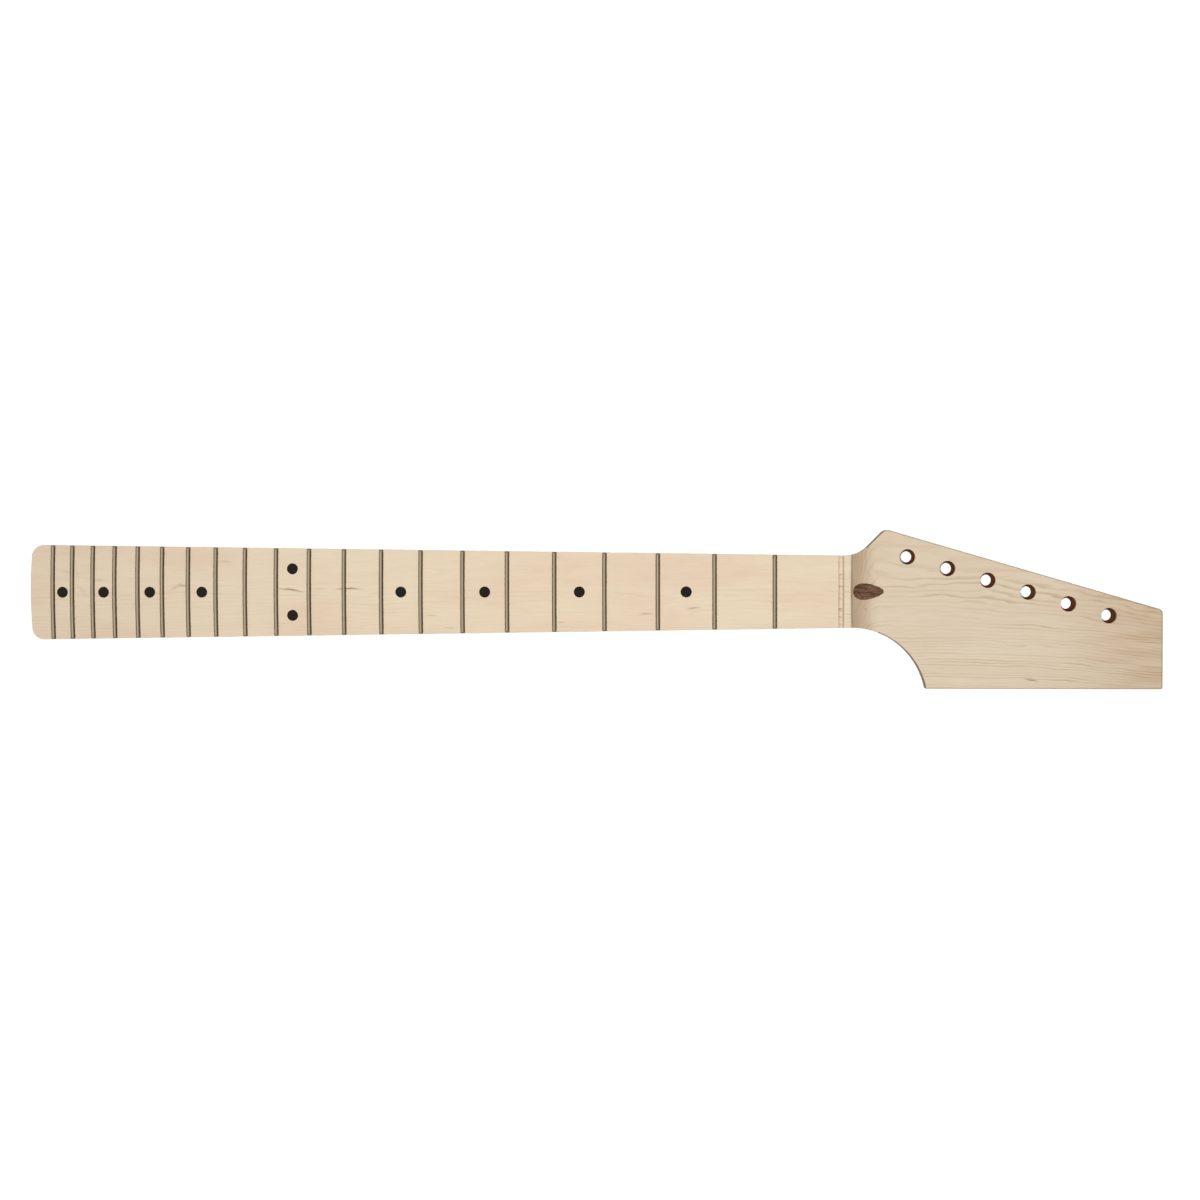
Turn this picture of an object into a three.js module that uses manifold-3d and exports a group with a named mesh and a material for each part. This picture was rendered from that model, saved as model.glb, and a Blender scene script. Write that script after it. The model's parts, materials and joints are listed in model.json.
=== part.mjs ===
// Bare bolt-on electric guitar neck, right-handed, 21 frets, six tuners in line.
// One piece of maple with the frets pressed straight into it. The truss rod lies in a channel
// cut from the back, closed by a walnut stripe, with a walnut plug behind the nut slot.
//
// Millimetres. +X runs from the heel to the headstock, +Y is the bass side and +Z points out
// of the playing face. The origin is the middle of the heel's flat back.

import * as THREE from 'three';
import { mergeVertices } from 'three/addons/utils/BufferGeometryUtils.js';
import Module from 'manifold-3d';

const wasm = await Module();
wasm.setup();

// Scale and playing face
const scaleLength = 647.7;
const fretCount = 21;
const nutWidth = 41.3;
const heelWidth = 55.2;
const boardRadius = 241.3;
const heelPastLastFret = 13.1;

// Heel
const heelThickness = 25.4;
const heelLength = 76.2;
const heelEndBow = 1.0;
const heelCornerRadius = 6.8;
const heelSwoopLength = 30;

// Shaft, with its thickness at the first and at the twelfth fret
const thicknessAtFirst = 20.8;
const thicknessAtTwelfth = 23.0;
const planedSide = 0.3;
const backRoundness = 2.3;

// Nut slot and the shelf behind it
const nutSlotLead = 0.3;
const nutSlotWidth = 3.2;
const nutSlotDepth = 3.2;
const shelfEnd = 6.55;
const shelfWallLean = 24;

// Headstock, measured from the nut end of the scale and from the centre line
const headFaceDrop = 8.7;
const headThickness = 14.3;
const headTrebleReach = 55.6;
const headEndTop = -10.5;
const headEdgeAngle = 16.43;
const headTopCornerRadius = 2.9;
const headLowCornerRadius = 1.2;
const scoopRadius = 27;
const scoopEnd = 24;
const shoulderStart = 3.2;
const shoulderRadius = 19.5;
const shoulderAngle = 45;
const crestRadius = 4.5;
const hornStart = 6.5;
const hornRadius = 44;
const headBackLead = 8;
const headBackBlend = 22;
const headSquareBlend = 36;
const headFlareRadius = 28;

// Tuner holes: a wide bore for the bushing over a narrower one for the post. The row runs along
// the headstock's upper edge.
const tunerCount = 6;
const firstTunerReach = 39.13;
const tunerPitch = 23.73;
const tunerEdgeDistance = 11.7;
const tunerEndDistance = 28.1;
const bushingBore = 8.73;
const bushingDepth = 9.5;
const postBore = 6.35;

// Fret wire
const crownWidth = 2.6;
const crownHeight = 1.1;
const tangWidth = 0.5;
const tangDepth = 1.6;
const tangSlotWidth = 0.6;
const tangFloorClearance = 0.1;
const crownClearance = 0.05;
const fretEndInset = 0.1;
const fretEndSlope = 0.6;

// Position dots: one behind each of these frets, and two behind the octave fret
const dottedFrets = [3, 5, 7, 9, 12, 15, 17, 19, 21];
const octaveFret = 12;
const dotDiameter = 6.35;
const dotDepth = 1.5;
const octaveDotSpacing = 26.9;
const sideDotDiameter = 2.0;
const sideDotDepth = 1.6;
const sideDotDrop = 2.6;
const octaveSideDotSpacing = 12;
const inlayClearance = 0.05;
const inlayFloorClearance = 0.1;

// Truss rod and the arms and straight ends that shape its bow
const rodDiameter = 4.76;
const rodHeelHeight = 13.5;
const rodWaistHeight = 9.4;
const rodClearance = 0.2;
const rodHoleDiameter = 5.4;
const rodHeelStraight = 28;
const rodWaistArm = 145;
const rodAnchorArm = 12;
const rodAnchorStraight = 9;

// Barrel nut and washer that draw the rod tight at the heel
const rodNutDiameter = 8.0;
const rodNutLength = 12.7;
const rodNutRecess = 0.5;
const rodNutBlindWall = 4.6;
const rodNutBore = 5.0;
const rodNutThreadDepth = 7.6;
const rodNutSlotWidth = 1.2;
const rodNutSlotDepth = 2.2;
const rodNutHole = 9.0;
const washerThickness = 1.0;
const washerDiameter = 8.4;
const seatClearance = 0.05;

// Walnut plug and the steel anchor that it covers, in one slanted bore
const plugDiameter = 9.525;
const plugSlope = 14.6;
const plugTip = 26;
const plugClearance = 0.05;
const anchorDiameter = 9.3;
const anchorLength = 12;
const anchorBottom = 10.1;
const anchorRodReach = 10.5;

// Walnut stripe in the back
const stripeWidth = 6.35;
const stripeHeelGap = 20;
const stripeNutGap = 12;
const stripeClearance = 0.05;

// Facets
const arcSag = 0.03;
const cutOverrun = 5;
const crownSteps = 12;
const backSteps = 24;
const fretSteps = 8;
const fretArcSteps = 6;
const rodSides = 8;
const rodSteps = 30;
const rodPathSteps = 40;
const tunerSides = 32;
const roundSides = 16;
const smallSides = 10;

// Where the shaft's straight stretch has its sections
const shaftShares = [0, 0.2, 0.4, 0.6, 0.8, 1];
const swoopShares = [0, 0.06, 0.14, 0.24, 0.35, 0.47, 0.6, 0.74, 0.87, 1];
const headBlendShares = [0, 0.06, 0.12, 0.19, 0.26, 0.34, 0.42, 0.5, 0.59, 0.68, 0.78, 0.89, 1];

const maple = { color: 0xe2cdab, roughness: 0.62, metalness: 0 };
const walnut = { color: 0x4a3021, roughness: 0.6, metalness: 0 };
const blackPlastic = { color: 0x1b1a19, roughness: 0.45, metalness: 0 };
const nickelSilver = { color: 0xb3ada0, roughness: 0.35, metalness: 1 };
const steel = { color: 0x9a9c9e, roughness: 0.4, metalness: 1 };

const radians = THREE.MathUtils.degToRad;
const heelEndX = -heelLength / 2;
const heelFlatEndX = heelLength / 2;
const nutX = heelEndX + heelPastLastFret + fretDistance(fretCount);
const headFaceZ = heelThickness - headFaceDrop;
const headBackZ = headFaceZ - headThickness;
const tunerRow = (tunerCount - 1) * tunerPitch;
const headLength = firstTunerReach + tunerEdgeDistance * Math.sin(radians(headEdgeAngle))
  + (tunerRow + tunerEndDistance) * Math.cos(radians(headEdgeAngle));
const headEndX = nutX + headLength;
const topZ = heelThickness + crownHeight + cutOverrun;
const bottomZ = -cutOverrun;

// Distance of a fret from the nut end of the scale, which the octave fret halves
function fretDistance(number) {
  return scaleLength * (1 - 2 ** (-number / octaveFret));
}

function fretX(number) {
  return nutX - fretDistance(number);
}

function betweenFretsX(number) {
  return (fretX(number) + fretX(number - 1)) / 2;
}

// Half the width of the tapered playing face
function halfWidth(x) {
  const share = (nutX - x) / (nutX - heelEndX);
  return THREE.MathUtils.lerp(nutWidth, heelWidth, share) / 2;
}

function crownZ(y) {
  return heelThickness - boardRadius + Math.sqrt(boardRadius ** 2 - y ** 2);
}

function shaftThickness(x) {
  const share = (fretX(1) - x) / (fretX(1) - fretX(octaveFret));
  return THREE.MathUtils.lerp(thicknessAtFirst, thicknessAtTwelfth, share);
}

function point2(x, y) {
  return new THREE.Vector2(x, y);
}

// Points of an arc, with steps as fine as its radius needs
function arcPoints(centre, radius, fromAngle, toAngle) {
  const stepAngle = 2 * Math.acos(1 - Math.min(arcSag / radius, 1));
  const steps = Math.max(3, Math.ceil(Math.abs(toAngle - fromAngle) / stepAngle));
  const points = [];
  for (let step = 0; step <= steps; step += 1) {
    const angle = THREE.MathUtils.lerp(fromAngle, toAngle, step / steps);
    points.push(point2(centre.x + radius * Math.cos(angle), centre.y + radius * Math.sin(angle)));
  }
  return points;
}

// Arc that rounds the corner between two straight edges
function roundedCorner(before, corner, after, radius) {
  const back = before.clone().sub(corner).normalize();
  const ahead = after.clone().sub(corner).normalize();
  const halfAngle = Math.acos(back.dot(ahead)) / 2;
  const middle = back.clone().add(ahead).normalize();
  const centre = corner.clone().addScaledVector(middle, radius / Math.sin(halfAngle));
  const start = corner.clone().addScaledVector(back, radius / Math.tan(halfAngle)).sub(centre);
  const end = corner.clone().addScaledVector(ahead, radius / Math.tan(halfAngle)).sub(centre);
  let turn = end.angle() - start.angle();
  if (turn > Math.PI) turn -= 2 * Math.PI;
  if (turn < -Math.PI) turn += 2 * Math.PI;
  return arcPoints(centre, radius, start.angle(), start.angle() + turn);
}

function circleShape(diameter, sides) {
  const points = [];
  for (let side = 0; side < sides; side += 1) {
    const angle = (side + 0.5) * 2 * Math.PI / sides;
    points.push(point2(diameter / 2 * Math.cos(angle), diameter / 2 * Math.sin(angle)));
  }
  return new THREE.Shape(points);
}

// Solid prism of an outline in plan, between two heights
function planPrism(shape, lowZ, highZ) {
  const geometry = new THREE.ExtrudeGeometry(shape, { depth: highZ - lowZ, bevelEnabled: false });
  geometry.translate(0, 0, lowZ);
  return toSolid(geometry);
}

// Solid prism of an outline in side view, x and z, with its width centred on the centre line
function sidePrism(points, width) {
  const shape = new THREE.Shape(points);
  const geometry = new THREE.ExtrudeGeometry(shape, { depth: width, bevelEnabled: false });
  geometry.rotateX(Math.PI / 2);
  geometry.translate(0, width / 2, 0);
  return toSolid(geometry);
}

// Round bar along a direction, from a start point
function roundBar(diameter, length, sides, start, direction) {
  const geometry = new THREE.ExtrudeGeometry(circleShape(diameter, sides), {
    depth: length, bevelEnabled: false,
  });
  const turn = new THREE.Quaternion().setFromUnitVectors(new THREE.Vector3(0, 0, 1), direction);
  geometry.applyQuaternion(turn);
  geometry.translate(start.x, start.y, start.z);
  return toSolid(geometry);
}

// Skin over rings of points that stand one behind the other along x
function loftGeometry(rings) {
  const count = rings[0].length;
  const positions = rings.flat().flatMap((point) => [point.x, point.y, point.z]);
  const indices = [];
  for (let ring = 0; ring < rings.length - 1; ring += 1) {
    for (let side = 0; side < count; side += 1) {
      const next = (side + 1) % count;
      const here = ring * count;
      const there = here + count;
      indices.push(here + side, here + next, there + next);
      indices.push(here + side, there + next, there + side);
    }
  }
  const outline = rings[0].map((point) => point2(point.y, point.z));
  const last = (rings.length - 1) * count;
  for (const [a, b, c] of THREE.ShapeUtils.triangulateShape(outline, [])) {
    indices.push(c, b, a);
    indices.push(last + a, last + b, last + c);
  }
  const geometry = new THREE.BufferGeometry();
  geometry.setAttribute('position', new THREE.Float32BufferAttribute(positions, 3));
  geometry.setIndex(indices);
  return geometry;
}

function toSolid(geometry) {
  const bare = geometry.clone();
  bare.deleteAttribute('normal');
  bare.deleteAttribute('uv');
  const merged = mergeVertices(bare);
  return new wasm.Manifold(new wasm.Mesh({
    numProp: 3,
    vertProperties: new Float32Array(merged.attributes.position.array),
    triVerts: new Uint32Array(merged.index.array),
  }));
}

function toGeometry(solid) {
  const mesh = solid.getMesh();
  const geometry = new THREE.BufferGeometry();
  geometry.setAttribute('position', new THREE.BufferAttribute(mesh.vertProperties, 3));
  geometry.setIndex(new THREE.BufferAttribute(mesh.triVerts, 1));
  geometry.computeVertexNormals();
  return geometry;
}

// The headstock's upper edge, a straight line that falls towards the end
const edgeAlong = point2(Math.cos(radians(headEdgeAngle)), -Math.sin(radians(headEdgeAngle)));
const edgeInward = point2(edgeAlong.y, -edgeAlong.x);
const edgeEnd = point2(headEndX, headEndTop);

// Corner where the shoulder's slope would meet the upper edge
function crestCorner(slopeFoot) {
  const rise = Math.tan(radians(shoulderAngle));
  const fall = Math.tan(radians(headEdgeAngle));
  const run = (edgeEnd.y + fall * (edgeEnd.x - slopeFoot.x) - slopeFoot.y) / (rise + fall);
  return point2(slopeFoot.x + run, slopeFoot.y + run * rise);
}

// Outline of the neck seen from above
function planShape() {
  const shoulderX = nutX + shoulderStart;
  const shoulderCentre = point2(shoulderX, halfWidth(shoulderX) + shoulderRadius);
  const shoulder = arcPoints(
    shoulderCentre, shoulderRadius, radians(shoulderAngle) - Math.PI / 2, -Math.PI / 2,
  );
  const crest = crestCorner(shoulder[0]);
  const hornX = nutX + hornStart;
  const hornCentre = point2(hornX, -halfWidth(hornX) - hornRadius);
  const hornEndAngle = Math.asin((-headTrebleReach - hornCentre.y) / hornRadius);
  const horn = arcPoints(hornCentre, hornRadius, Math.PI / 2, hornEndAngle);
  const lowEnd = point2(headEndX, -headTrebleReach);
  const heelHalf = halfWidth(heelEndX);
  const bowRadius = (heelHalf ** 2 + heelEndBow ** 2) / (2 * heelEndBow);
  const bowAngle = Math.asin((heelHalf - heelCornerRadius) / bowRadius);
  const bow = arcPoints(
    point2(heelEndX + bowRadius, 0), bowRadius, Math.PI - bowAngle, Math.PI + bowAngle,
  );
  const heelCornerX = heelEndX + heelEndBow;
  const heelCorner = (side) => point2(heelCornerX, side * halfWidth(heelCornerX));
  const trebleCorner = roundedCorner(bow.at(-1), heelCorner(-1), horn[0], heelCornerRadius);
  const bassCorner = roundedCorner(shoulder.at(-1), heelCorner(1), bow[0], heelCornerRadius);
  return new THREE.Shape([
    ...trebleCorner,
    ...horn,
    ...roundedCorner(horn.at(-1), lowEnd, edgeEnd, headLowCornerRadius),
    ...roundedCorner(lowEnd, edgeEnd, crest, headTopCornerRadius),
    ...roundedCorner(edgeEnd, crest, shoulder[0], crestRadius),
    ...shoulder,
    ...bassCorner,
    ...bow,
  ]);
}

// How square the back is: 1 is a flat block, 0 the rounded back that the hand holds
function squareness(x) {
  if (x <= heelFlatEndX) return 1;
  const swoop = Math.min((x - heelFlatEndX) / heelSwoopLength, 1);
  const heel = (1 - swoop) ** 2;
  return Math.max(heel, THREE.MathUtils.smoothstep(x, nutX, nutX + headSquareBlend));
}

function backZ(x) {
  const shaft = heelThickness - shaftThickness(x);
  if (x < nutX - headBackLead) {
    const swoop = THREE.MathUtils.clamp((x - heelFlatEndX) / heelSwoopLength, 0, 1);
    return shaft * (1 - (1 - swoop) ** 2);
  }
  const share = THREE.MathUtils.smoothstep(x, nutX - headBackLead, nutX + headBackBlend);
  return THREE.MathUtils.lerp(shaft, headBackZ, share);
}

// The rounded body stands a little outside the plan outline, which planes its sides straight
function bodyHalfWidth(x) {
  if (x <= nutX) return halfWidth(x) + planedSide;
  const flare = (x - nutX) ** 2 / headFlareRadius;
  return Math.min(halfWidth(x) + planedSide + flare, headTrebleReach + cutOverrun);
}

// Share of half width and of depth for a point of the back, at an angle from the treble side
function backShare(angle, square) {
  const across = Math.cos(angle);
  const down = Math.sin(angle);
  const round = point2(
    Math.sign(across) * Math.abs(across) ** (2 / backRoundness), down ** (2 / backRoundness),
  );
  const reach = Math.max(Math.abs(across), down);
  return round.lerp(point2(across / reach, down / reach), square);
}

function bodySection(x) {
  const half = bodyHalfWidth(x);
  const edgeZ = crownZ(half);
  const depth = edgeZ - backZ(x);
  const ring = [];
  for (let step = 0; step <= crownSteps; step += 1) {
    const y = half * (1 - 2 * step / crownSteps);
    ring.push(new THREE.Vector3(x, y, crownZ(y)));
  }
  for (let step = 1; step < backSteps; step += 1) {
    const share = backShare(Math.PI * step / backSteps, squareness(x));
    ring.push(new THREE.Vector3(x, -half * share.x, edgeZ - depth * share.y));
  }
  return ring;
}

function bodyStations() {
  const between = (from, to, shares) => shares.map((share) => THREE.MathUtils.lerp(from, to, share));
  const swoopEndX = heelFlatEndX + heelSwoopLength;
  const blendStartX = nutX - headBackLead;
  return [
    heelEndX - cutOverrun,
    ...between(heelFlatEndX, swoopEndX, swoopShares),
    ...between(swoopEndX, blendStartX, shaftShares).slice(1, -1),
    ...between(blendStartX, nutX + headSquareBlend, headBlendShares),
    headEndX + cutOverrun,
  ];
}

// What is taken off above the headstock: a leaning wall, the scoop and the flat face
function scoopCutter() {
  const centre = point2(nutX + scoopEnd, headFaceZ + scoopRadius);
  const lean = Math.tan(radians(shelfWallLean));
  const wallTop = point2(nutX + shelfEnd, heelThickness);
  const wallX = (z) => wallTop.x + (wallTop.y - z) * lean;
  const arc = arcPoints(centre, scoopRadius, Math.PI, 3 * Math.PI / 2);
  const scoop = arc.filter((point) => point.x > wallX(point.y));
  const foot = wallFoot(centre, wallTop, lean);
  return sidePrism([
    foot,
    ...scoop.filter((point) => point.x > foot.x),
    point2(headEndX + cutOverrun, headFaceZ),
    point2(headEndX + cutOverrun, topZ),
    point2(wallX(topZ), topZ),
  ], 4 * headTrebleReach);
}

// Point where the leaning wall meets the scoop's arc
function wallFoot(centre, wallTop, lean) {
  const from = wallTop.clone().sub(centre);
  const down = point2(lean, -1).normalize();
  const along = from.dot(down);
  const run = -along + Math.sqrt(along ** 2 - from.lengthSq() + scoopRadius ** 2);
  return wallTop.clone().addScaledVector(down, run);
}

function neckForm() {
  const plan = planPrism(planShape(), bottomZ, topZ);
  const body = toSolid(loftGeometry(bodyStations().map(bodySection)));
  return plan.intersect(body).subtract(scoopCutter());
}

// The slanted bore under the plug: its line passes through the plug's tip in the head's face
const plugTilt = radians(plugSlope);
const plugUp = new THREE.Vector3(Math.cos(plugTilt), 0, Math.sin(plugTilt));
const plugTipZ = headFaceZ + plugDiameter / 2 / Math.cos(plugTilt);

function onPlugLine(distanceFromNut) {
  const x = nutX + distanceFromNut;
  const z = plugTipZ + (distanceFromNut - plugTip) * Math.tan(plugTilt);
  return new THREE.Vector3(x, 0, z);
}

// Truss rod: straight in the heel, bowed towards the back, then up the plug's slant
const rodNutOuterX = heelEndX + rodNutRecess;
const rodNutInnerX = rodNutOuterX + rodNutLength;
const washerX = rodNutInnerX + seatClearance;
const nutHoleFloorX = washerX + washerThickness + seatClearance;
const rodStartX = rodNutInnerX - rodNutThreadDepth;
const rodCurveStart = new THREE.Vector3(heelEndX + rodHeelStraight, 0, rodHeelHeight);
const anchorFoot = onPlugLine(-anchorBottom);
const rodCurveEnd = anchorFoot.clone().addScaledVector(plugUp, -rodAnchorStraight);

function rodCurve() {
  return new THREE.CubicBezierCurve3(
    rodCurveStart,
    new THREE.Vector3(rodCurveStart.x + rodWaistArm, 0, rodWaistHeight),
    rodCurveEnd.clone().addScaledVector(plugUp, -rodAnchorArm),
    rodCurveEnd,
  );
}

function rodPath() {
  const path = new THREE.CurvePath();
  const rodStart = new THREE.Vector3(rodStartX, 0, rodHeelHeight);
  path.add(new THREE.LineCurve3(rodStart, rodCurveStart));
  path.add(rodCurve());
  const rodEnd = anchorFoot.clone().addScaledVector(plugUp, anchorRodReach);
  path.add(new THREE.LineCurve3(rodCurveEnd, rodEnd));
  return path;
}

// Points beside the rod's middle line, at a distance towards the playing face
function rodOffsetPoints(distance) {
  const points = [point2(heelEndX, rodHeelHeight + distance)];
  const curve = rodCurve();
  for (let step = 0; step <= rodSteps; step += 1) {
    const at = curve.getPoint(step / rodSteps);
    const along = curve.getTangent(step / rodSteps);
    points.push(point2(at.x - along.z * distance, at.z + along.x * distance));
  }
  const slantEnd = anchorFoot.clone().addScaledVector(plugUp, anchorLength);
  points.push(point2(slantEnd.x - plugUp.z * distance, slantEnd.z + plugUp.x * distance));
  return points;
}

// What lies between the rod's line, moved by a distance, and the open air behind the neck
function belowRod(distance) {
  const top = rodOffsetPoints(distance);
  const low = [point2(top.at(-1).x, bottomZ), point2(top[0].x, bottomZ)];
  return sidePrism([...top.reverse(), ...low.reverse()], 2 * stripeWidth);
}

// Round-ended strip along the centre line
function stripPrism(width) {
  const startX = heelEndX + stripeHeelGap + stripeWidth / 2;
  const endX = nutX - stripeNutGap - stripeWidth / 2;
  const radius = width / 2;
  return planPrism(new THREE.Shape([
    ...arcPoints(point2(endX, 0), radius, -Math.PI / 2, Math.PI / 2),
    ...arcPoints(point2(startX, 0), radius, Math.PI / 2, 3 * Math.PI / 2),
  ]), bottomZ, topZ);
}

function rodChannel() {
  const alongX = new THREE.Vector3(1, 0, 0);
  const rodHole = new THREE.Vector3(heelEndX - cutOverrun, 0, rodHeelHeight);
  const straightHole = roundBar(
    rodHoleDiameter, rodCurveStart.x - rodHole.x, roundSides, rodHole, alongX,
  );
  const nutHole = roundBar(
    rodNutHole, nutHoleFloorX - rodHole.x, roundSides, rodHole, alongX,
  );
  const slantHole = roundBar(
    rodHoleDiameter, rodAnchorStraight + anchorLength, roundSides, rodCurveEnd, plugUp,
  );
  return stripPrism(stripeWidth).intersect(belowRod(rodDiameter / 2 + rodClearance))
    .add(straightHole).add(nutHole).add(slantHole);
}

// Long enough to leave the wood above the scoop
function plugBore(diameter, start) {
  return roundBar(diameter, headLength, roundSides, start, plugUp);
}

function tunerCentre(index) {
  const fromEnd = tunerEndDistance + tunerRow - index * tunerPitch;
  return edgeEnd.clone().addScaledVector(edgeAlong, -fromEnd)
    .addScaledVector(edgeInward, tunerEdgeDistance);
}

function tunerHole(index) {
  const { x, y } = tunerCentre(index);
  const bushing = planPrism(circleShape(bushingBore, tunerSides), headFaceZ - bushingDepth, topZ);
  const post = planPrism(circleShape(postBore, tunerSides), bottomZ, topZ);
  return bushing.add(post).translate(x, y, 0);
}

function nutSlot() {
  const startX = nutX - nutSlotLead;
  const floorZ = heelThickness - nutSlotDepth;
  return sidePrism([
    point2(startX, floorZ),
    point2(startX + nutSlotWidth, floorZ),
    point2(startX + nutSlotWidth, topZ),
    point2(startX, topZ),
  ], 2 * nutWidth);
}

// Sawn straight across, as deep as the tang of the bent wire reaches at its ends
function tangSlot(number) {
  const x = fretX(number);
  const floorZ = crownZ(halfWidth(x)) - tangDepth - tangFloorClearance;
  return sidePrism([
    point2(x - tangSlotWidth / 2, floorZ),
    point2(x + tangSlotWidth / 2, floorZ),
    point2(x + tangSlotWidth / 2, topZ),
    point2(x - tangSlotWidth / 2, topZ),
  ], 2 * heelWidth);
}

function pairOffsets(number, spacing) {
  return number === octaveFret ? [-spacing / 2, spacing / 2] : [0];
}

function dotPlaces() {
  return dottedFrets.flatMap((number) => pairOffsets(number, octaveDotSpacing)
    .map((y) => ({ number, x: betweenFretsX(number), y })));
}

function sideDotPlaces() {
  return dottedFrets.flatMap((number) => pairOffsets(number, octaveSideDotSpacing)
    .map((offset) => ({ number, x: betweenFretsX(number) + offset })));
}

function dotBar({ x, y }, diameter, floorZ) {
  return planPrism(circleShape(diameter, roundSides), floorZ, topZ).translate(x, y, 0);
}

function sideDotBar({ x }, diameter, depth) {
  const side = halfWidth(x);
  const start = new THREE.Vector3(x, side - depth, crownZ(side) - sideDotDrop);
  return roundBar(diameter, depth + cutOverrun, smallSides, start, new THREE.Vector3(0, 1, 0));
}

// The fret wire's section: a low dome over a thin tang, as points across and above the board
function wireSection() {
  const points = [];
  for (let step = 0; step <= fretArcSteps; step += 1) {
    const angle = Math.PI * step / fretArcSteps;
    const domeHeight = (crownHeight - crownClearance) * Math.sin(angle);
    points.push(point2(crownWidth / 2 * Math.cos(angle), crownClearance + domeHeight));
  }
  points.push(point2(-tangWidth / 2, crownClearance), point2(-tangWidth / 2, -tangDepth));
  points.push(point2(tangWidth / 2, -tangDepth), point2(tangWidth / 2, crownClearance));
  return points;
}

// Fret wire bent to the board's radius, its ends filed back over the crown
function fretGeometry(number) {
  const x = fretX(number);
  const half = halfWidth(x + crownWidth / 2) - fretEndInset;
  const rings = [];
  for (let step = 0; step <= fretSteps; step += 1) {
    const share = 2 * step / fretSteps - 1;
    rings.push(wireSection().map(({ x: across, y: height }) => {
      const reach = half - fretEndSlope * Math.max(height, 0);
      const bend = Math.asin(share * half / boardRadius) * reach / half;
      const radius = boardRadius + height;
      const fromCentre = radius * Math.cos(bend);
      return new THREE.Vector3(radius * Math.sin(bend), x + across, fromCentre);
    }));
  }
  const geometry = loftGeometry(rings);
  geometry.rotateZ(-Math.PI / 2);
  geometry.translate(0, 0, heelThickness - boardRadius);
  return geometry;
}

function rodGeometry() {
  return new THREE.ExtrudeGeometry(circleShape(rodDiameter, rodSides), {
    steps: rodPathSteps, extrudePath: rodPath(), bevelEnabled: false,
  });
}

// Barrel nut with a blind threaded hole towards the rod and a cross slot in its outer end
function rodNut() {
  const outer = rodNutDiameter / 2;
  const bore = rodNutBore / 2;
  const barrel = new THREE.LatheGeometry([
    point2(0, 0), point2(outer, 0), point2(outer, rodNutLength), point2(bore, rodNutLength),
    point2(bore, rodNutBlindWall), point2(0, rodNutBlindWall),
  ], roundSides);
  barrel.rotateZ(-Math.PI / 2);
  const slotDepth = 2 * rodNutSlotDepth;
  const upright = new THREE.BoxGeometry(slotDepth, rodNutSlotWidth, 2 * rodNutDiameter);
  const level = new THREE.BoxGeometry(slotDepth, 2 * rodNutDiameter, rodNutSlotWidth);
  return toSolid(barrel).subtract(toSolid(upright)).subtract(toSolid(level))
    .translate(rodNutOuterX, 0, rodHeelHeight);
}

function washer() {
  const start = new THREE.Vector3(washerX, 0, rodHeelHeight);
  const hole = start.clone().setX(washerX - cutOverrun);
  const alongX = new THREE.Vector3(1, 0, 0);
  return roundBar(washerDiameter, washerThickness, roundSides, start, alongX)
    .subtract(roundBar(rodHoleDiameter, 2 * cutOverrun, roundSides, hole, alongX));
}

function anchor() {
  const start = anchorFoot.clone().addScaledVector(plugUp, seatClearance);
  const hole = anchorFoot.clone().addScaledVector(plugUp, -cutOverrun);
  return roundBar(anchorDiameter, anchorLength, roundSides, start, plugUp)
    .subtract(roundBar(rodHoleDiameter, 2 * cutOverrun + anchorLength, roundSides, hole, plugUp));
}

const neck = new THREE.Group();
neck.name = 'electric_guitar_neck';

function addPiece(name, shape, finish) {
  const geometry = shape.isBufferGeometry ? shape : toGeometry(shape);
  geometry.computeVertexNormals();
  const mesh = new THREE.Mesh(geometry, new THREE.MeshStandardMaterial(finish));
  mesh.name = name;
  neck.add(mesh);
}

function twoDigits(number) {
  return String(number).padStart(2, '0');
}

const form = neckForm();

// Maple neck with everything cut out of it that a piece goes into
const anchorBore = plugBore(plugDiameter + 2 * plugClearance, anchorFoot);
let maplePiece = form.subtract(rodChannel()).subtract(anchorBore).subtract(nutSlot());
for (let index = 0; index < tunerCount; index += 1) {
  maplePiece = maplePiece.subtract(tunerHole(index));
}
for (let number = 1; number <= fretCount; number += 1) {
  maplePiece = maplePiece.subtract(tangSlot(number));
}
const dotHole = dotDiameter + 2 * inlayClearance;
for (const place of dotPlaces()) {
  const floorZ = crownZ(place.y) - dotDepth - inlayFloorClearance;
  maplePiece = maplePiece.subtract(dotBar(place, dotHole, floorZ));
}
const sideDotHole = sideDotDiameter + 2 * inlayClearance;
for (const place of sideDotPlaces()) {
  maplePiece = maplePiece.subtract(sideDotBar(place, sideDotHole, sideDotDepth + inlayFloorClearance));
}
addPiece('neck', maplePiece, maple);

// Walnut stripe and plug, cut flush with the maple
const stripe = stripPrism(stripeWidth - 2 * stripeClearance)
  .intersect(belowRod(-rodDiameter / 2 - rodClearance)).intersect(form);
addPiece('skunk_stripe', stripe, walnut);
const plugFoot = anchorFoot.clone().addScaledVector(plugUp, anchorLength + 2 * seatClearance);
addPiece('headstock_plug', plugBore(plugDiameter, plugFoot).intersect(form), walnut);

addPiece('truss_rod', rodGeometry(), steel);
addPiece('truss_rod_anchor', anchor(), steel);
addPiece('truss_rod_washer', washer(), steel);
addPiece('truss_rod_nut', rodNut(), steel);

for (let number = 1; number <= fretCount; number += 1) {
  addPiece(`fret_${twoDigits(number)}`, fretGeometry(number), nickelSilver);
}

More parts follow.
